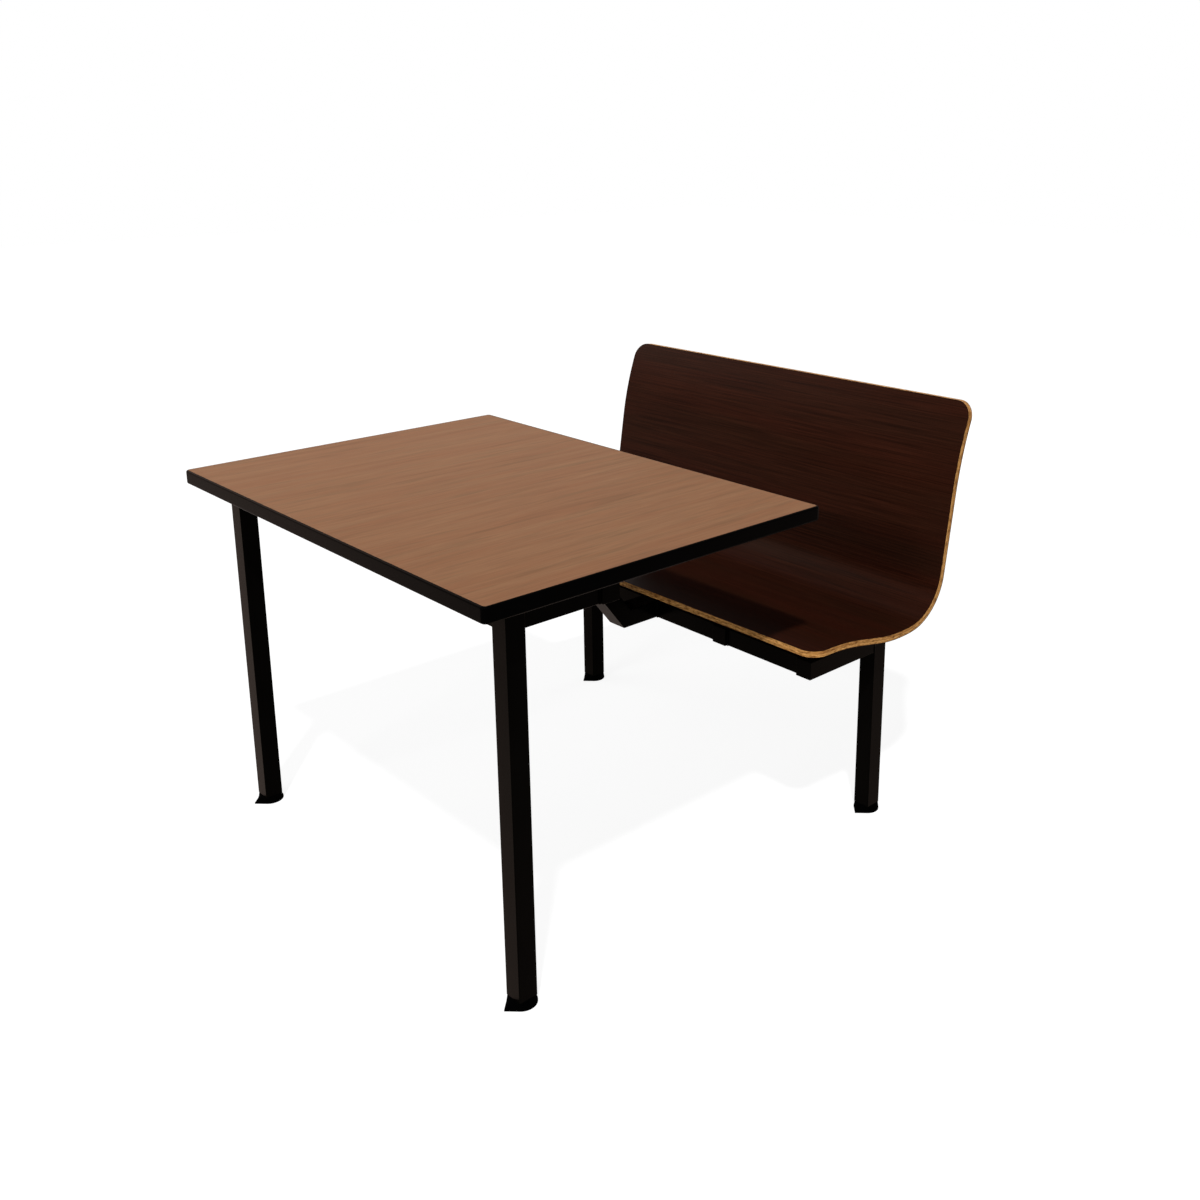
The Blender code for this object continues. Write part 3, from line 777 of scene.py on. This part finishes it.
def shell_stations():
    """Distances along the shell at which it is drawn: its runs' facets, round corners and eased ends."""
    marks = [0.0]
    for length, turn in SHELL_RUNS:
        # A chord lies off its arc by about an eighth of the arc's length times its turn.
        facets = max(1, ceil(sqrt(length * abs(turn) / (8 * SHELL_SAG))))
        start = marks[-1]
        marks += [start + length * (facet + 1) / facets for facet in range(facets)]
    total = marks[-1]
    insets = [SHELL_CORNER * (1 - cos(turn)) for turn in quarter_turns(SHELL_CORNER_STEPS)]
    insets += [SHELL_EASE * EASE_SHARE, SHELL_EASE]
    marks += insets + [total - inset for inset in insets]
    marks.sort()
    kept = [mark for mark, following in zip(marks, marks[1:]) if following - mark > LEAST_STATION]
    return kept + [total]


STATIONS = shell_stations()


def shell_half(distance):
    """Half the shell's width at a distance along it."""
    shortfall = max(0.0, SHELL_CORNER - min(distance, STATIONS[-1] - distance))
    return SHELL_WIDTH / 2 - SHELL_CORNER + sqrt(max(0.0, SHELL_CORNER ** 2 - shortfall ** 2))


def shell_layer(name, top, bottom, ease, material, replaced):
    """One layer of the shell between two depths, with its edges eased."""
    loops, grains = [], []
    for distance in STATIONS:
        from_end = min(distance, STATIONS[-1] - distance)
        share = min(1.0, from_end / ease)
        inset = ease * (1 - sqrt(share * (2 - share)))
        half = shell_half(distance)
        upper, lower = top + inset, bottom - inset
        eased = EASE_SHARE * ease
        rim = [(half - ease, upper), (half - eased, upper + eased), (half, upper + ease),
               (half, lower - ease), (half - eased, lower - eased), (half - ease, lower)]
        section = rim + [(-y, depth) for y, depth in reversed(rim)]
        points = []
        for y, depth in section:
            x, z = trimmed_point(distance, depth)
            points.append(Vector((x, y, z)))
        loops.append(points)
        grains.append([(distance, y, depth) for y, depth in section])
    bm = bmesh.new()
    bm.verts.layers.float_vector.new("grain")
    skin(bm, loops, grains=grains)
    piece(name, bm, material, nodes=[replaced])


def make_shell():
    """Plywood core between a face veneer and a back veneer."""
    back_depth = SHELL_THICKNESS - SHELL_VENEER
    shell_layer("shell_plywood", SHELL_VENEER, back_depth, SHELL_EASE, PLYWOOD, "seat_plywood")
    shell_layer("shell_face_veneer", 0.0, SHELL_VENEER, VENEER_EASE, VENEER, "seat_face_veneer")
    shell_layer("shell_back_veneer", back_depth, SHELL_THICKNESS, VENEER_EASE, VENEER,
                "seat_back_veneer")


def strap_line(points, radius):
    """A line through points with its corners rounded, as (x, z) points."""
    line = [points[0]]
    for before, corner, after in zip(points, points[1:], points[2:]):
        back = (before - corner).normalized()
        ahead = (after - corner).normalized()
        half_angle = acos(max(-1.0, min(1.0, back.dot(ahead)))) / 2
        cut = radius / tan(half_angle)
        hub = corner + (back + ahead).normalized() * (radius / sin(half_angle))
        first, last = corner + back * cut - hub, corner + ahead * cut - hub
        start = atan2(first.y, first.x)
        sweep = (atan2(last.y, last.x) - start + pi) % (2 * pi) - pi
        for step in range(STRAP_BEND_STEPS + 1):
            angle = start + sweep * step / STRAP_BEND_STEPS
            line.append(hub + Vector((cos(angle), sin(angle))) * radius)
    return line + [points[-1]]


def make_strap(name):
    """One bent strap: a flange along the shell, an upright and a foot on the tube."""
    low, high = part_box(name)
    centre = middle(name)
    half = BRACKET_THICKNESS / 2
    depth = SHELL_THICKNESS + half
    flange = [Vector(shell_point(BRACKET_REACH + reach, depth)) for reach in (0.0, BRACKET_FLANGE / 2)]
    upright_x = high.x - BRACKET_FLANGE - half
    corner_z = shell_point(BRACKET_REACH + BRACKET_FLANGE, depth)[1]
    foot_z = low.z + half
    corners = [Vector((upright_x, corner_z)), Vector((upright_x, foot_z)), Vector((high.x, foot_z))]
    spine = strap_line(flange + corners, BRACKET_BEND + half)
    outline = rounded_rectangle(high.y - low.y, BRACKET_THICKNESS, PLATE_EASE, STRAP_CORNER_STEPS)
    loops = []
    for i, point in enumerate(spine):
        along = (spine[min(i + 1, len(spine) - 1)] - spine[max(i - 1, 0)]).normalized()
        normal = Vector((-along.y, along.x))
        loops.append([Vector((point.x + normal.x * v, centre.y + u, point.y + normal.y * v))
                      for u, v in outline])
    bm = bmesh.new()
    skin(bm, loops)
    piece(f"{name}_strap", bm, STEEL, nodes=[name])


def add_shell_screws(bm, middle_y):
    """Adds the two screws that hold the shell to a strap's flange."""
    distance = BRACKET_REACH + SCREW_SETBACK
    above = Vector(shell_point(distance, SHELL_THICKNESS))
    below = Vector(shell_point(distance, SHELL_THICKNESS + BRACKET_THICKNESS))
    outward = (below - above).normalized()
    for offset in (-SCREW_SPREAD, SCREW_SPREAD):
        seat = Vector((below.x, middle_y + offset, below.y))
        add_screw(bm, seat, Vector((outward.x, 0.0, outward.y)), BRACKET_THICKNESS / 2)


def make_brackets():
    """Bent straps between the frame and the shell, with the screws that hold the shell."""
    screws = bmesh.new()
    for side in SIDES:
        for where in ("side", "mid"):
            name = f"seat_bracket_{where}_{side}"
            make_strap(name)
            add_shell_screws(screws, middle(name).y)
    piece("shell_screws", screws, ZINC)


# Levelling feet


def toe_radius(angle):
    """Radius of a foot's footprint: a circle drawn out to a toe that points along -X."""
    from_toe = abs(angle - pi)
    touch = acos(FOOT_RADIUS / TOE_REACH)
    return FOOT_RADIUS / cos(touch - from_toe) if from_toe < touch else FOOT_RADIUS


def squarish(half):
    """Radius of a square with soft corners, of a given half width."""
    def radius(angle):
        """The square's radius at an angle about its middle."""
        powers = abs(cos(angle)) ** SQUARENESS + abs(sin(angle)) ** SQUARENESS
        return half / powers ** (1 / SQUARENESS)
    return radius


def foot_loops(top, height):
    """Loops of a foot: its sole, lip and flank, then over its top and down into the stem's socket."""
    loops = [polar(lambda angle: toe_radius(angle) - FOOT_ROUND, 0.0)]
    for turn in SOLE_TURNS:
        inset = FOOT_ROUND * (1 - sin(turn))
        loops.append(polar(lambda angle: toe_radius(angle) - inset, FOOT_ROUND * (1 - cos(turn))))
    loops.append(polar(toe_radius, FOOT_LIP - FOOT_ROUND / 2))
    for share in FLANK_SHARES:
        level = FOOT_LIP + (height - FOOT_ROUND - FOOT_LIP) * share
        loops.append(polar(lambda angle: toe_radius(angle) + (top(angle) - toe_radius(angle)) * share, level))
    eased = FOOT_ROUND * EASE_SHARE
    loops.append(polar(top, height - FOOT_ROUND))
    loops.append(polar(lambda angle: top(angle) - eased, height - eased))
    loops.append(polar(lambda angle: top(angle) - FOOT_ROUND, height))
    for level in (height, height - SOCKET_DEPTH):
        loops.append(polar(lambda angle: SOCKET_RADIUS, level))
    return loops


def make_feet():
    """Moulded feet on threaded stems."""
    for row in ROWS:
        for side in SIDES:
            leg = f"{row}_{side}"
            body = f"leveller_{leg}"
            leg_low, leg_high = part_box(f"{row}_leg_{side}")
            axis = Vector(((leg_low.x + leg_high.x) / 2, (leg_low.y + leg_high.y) / 2, 0.0))
            top = squarish((leg_high.y - leg_low.y) / 2 + FOOT_LEDGE)
            loops = foot_loops(top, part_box(f"foot_{leg}")[1].z)
            bm = bmesh.new()
            skin(bm, [[point + axis for point in loop] for loop in loops])
            piece(f"foot_{leg}_moulding", bm, NYLON, body, [f"foot_{leg}"])
            make_stem(leg, body, axis)


def make_stem(leg, body, axis):
    """A threaded stud, drawn as one winding surface."""
    low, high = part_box(f"foot_stem_{leg}")
    crest = (high.x - low.x) / 2
    root = crest - THREAD_DEPTH
    rings = ceil((high.z - low.z) / THREAD_PITCH * THREAD_RINGS)
    loops = []
    for i in range(rings + 1):
        z = low.z + (high.z - low.z) * i / rings
        taper = min(1.0, (high.z - z) / THREAD_PITCH, (z - low.z) / THREAD_PITCH)
        loop = []
        for step in range(THREAD_STEPS):
            angle = 2 * pi * step / THREAD_STEPS
            phase = ((z - low.z) / THREAD_PITCH - step / THREAD_STEPS) % 1.0
            radius = root + THREAD_DEPTH * taper * (1 - abs(2 * phase - 1))
            loop.append(axis + Vector((radius * cos(angle), radius * sin(angle), z)))
        loops.append(loop)
    bm = bmesh.new()
    skin(bm, loops)
    piece(f"foot_stem_{leg}_stud", bm, ZINC, body, [f"foot_stem_{leg}"])


def dress_nodes():
    """Finishes for the solids that stay as they are."""
    kept = {"tabletop_core": BOARD, "tabletop_backer": BACKER}
    kept |= {f"leg_insert_{row}_{side}": NYLON for row in ROWS for side in SIDES}
    for name, material in kept.items():
        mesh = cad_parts[name].data
        mesh.materials.clear()
        mesh.materials.append(material)


# Light, floor and camera


def seen_rays(tree, *kinds):
    """One where a ray of one of these kinds looks at the surface."""
    path = tree.nodes.new("ShaderNodeLightPath")
    most = path.outputs[kinds[0]]
    for kind in kinds[1:]:
        joined = tree.nodes.new("ShaderNodeMath")
        joined.operation = "MAXIMUM"
        tree.links.new(most, joined.inputs[0])
        tree.links.new(path.outputs[kind], joined.inputs[1])
        most = joined.outputs[0]
    return most


def make_world():
    """White where it is seen, a softer ambient light elsewhere."""
    world = bpy.data.worlds.new("studio")
    bpy.context.scene.world = world
    world.use_nodes = True
    tree = world.node_tree
    background = tree.nodes["Background"]
    background.inputs["Color"].default_value = (1.0, 1.0, 1.0, 1.0)
    strength = tree.nodes.new("ShaderNodeMapRange")
    strength.inputs["To Min"].default_value = AMBIENT
    strength.inputs["To Max"].default_value = 1.0
    seen = seen_rays(tree, "Is Camera Ray", "Is Glossy Ray", "Is Transmission Ray")
    tree.links.new(seen, strength.inputs["Value"])
    tree.links.new(strength.outputs["Result"], background.inputs["Strength"])


def glowing_sheet(tree, glow, shade):
    """A diffuse shader of a grey shade that also glows."""
    light = tree.nodes.new("ShaderNodeEmission")
    light.inputs["Strength"].default_value = glow
    sheet = tree.nodes.new("ShaderNodeBsdfDiffuse")
    sheet.inputs["Color"].default_value = (shade, shade, shade, 1.0)
    both = tree.nodes.new("ShaderNodeAddShader")
    tree.links.new(light.outputs[0], both.inputs[0])
    tree.links.new(sheet.outputs[0], both.inputs[1])
    return both.outputs[0]


def make_floor():
    """A plain pale floor that reads as white and keeps a faint shadow."""
    bm = bmesh.new()
    bmesh.ops.create_grid(bm, x_segments=1, y_segments=1, size=FLOOR_SIZE / 2)
    mesh = bpy.data.meshes.new("floor")
    bm.to_mesh(mesh)
    bm.free()
    floor = bpy.data.objects.new("floor", mesh)
    bpy.context.scene.collection.objects.link(floor)
    material = bpy.data.materials.new("pale_floor")
    material.use_nodes = True
    tree = material.node_tree
    shader = tree.nodes["Principled BSDF"]
    shader.inputs["Base Color"].default_value = (FLOOR_GREY, FLOOR_GREY, FLOOR_GREY, 1.0)
    shader.inputs["Roughness"].default_value = FLOOR_ROUGHNESS
    shader.inputs["Specular IOR Level"].default_value = 0.0
    surface = shader.outputs[0]
    for kinds, glow, shade in ((("Is Glossy Ray",), MIRRORED_GLOW, MIRRORED_SHADE),
                               (("Is Camera Ray", "Is Transmission Ray"), FLOOR_GLOW, FLOOR_SHADE)):
        chosen = tree.nodes.new("ShaderNodeMixShader")
        tree.links.new(seen_rays(tree, *kinds), chosen.inputs["Fac"])
        tree.links.new(surface, chosen.inputs[1])
        tree.links.new(glowing_sheet(tree, glow, shade), chosen.inputs[2])
        surface = chosen.outputs[0]
    tree.links.new(surface, tree.nodes["Material Output"].inputs["Surface"])
    mesh.materials.append(material)


def make_lamp(name, kind, toward, strength):
    """A lamp at the origin that shines along a direction."""
    data = bpy.data.lights.new(name, kind)
    data.energy = strength
    lamp = bpy.data.objects.new(name, data)
    lamp.rotation_mode = "QUATERNION"
    lamp.rotation_quaternion = toward.to_track_quat("-Z", "Y")
    bpy.context.scene.collection.objects.link(lamp)
    return lamp


def make_lights():
    """A sun as the key light, and soft panels that the camera doesn't see."""
    key = make_lamp("key", "SUN", -KEY_DIRECTION, KEY_STRENGTH)
    key.data.angle = KEY_ANGLE
    for name, (where, power, width, height) in PANELS.items():
        panel = make_lamp(name, "AREA", PANEL_AIM - where, power)
        panel.location = where
        panel.data.shape = "RECTANGLE"
        panel.data.size = width
        panel.data.size_y = height
        panel.visible_camera = False


def make_camera():
    """The photograph's view: its picture is a window beside the lens axis, hence the shift."""
    data = bpy.data.cameras.new("camera")
    data.sensor_width = SENSOR
    data.lens = FOCAL_PIXELS / IMAGE_SIZE * SENSOR
    data.shift_x = 0.5 - CENTRE_PIXEL[0] / IMAGE_SIZE
    data.shift_y = CENTRE_PIXEL[1] / IMAGE_SIZE - 0.5
    camera = bpy.data.objects.new("camera", data)
    camera.location = CAMERA_PLACE
    camera.rotation_mode = "QUATERNION"
    camera.rotation_quaternion = CAMERA_FORWARD.to_track_quat("-Z", "Y")
    bpy.context.scene.collection.objects.link(camera)
    bpy.context.scene.camera = camera


make_camera()
make_world()
make_floor()
make_lights()
make_tabletop()
make_straight_tubes()
make_beam()
make_welds()
make_caps()
make_tabs()
make_shell()
make_brackets()
make_feet()
dress_nodes()

bpy.context.scene.view_settings.view_transform = "Standard"
bpy.context.view_layer.update()
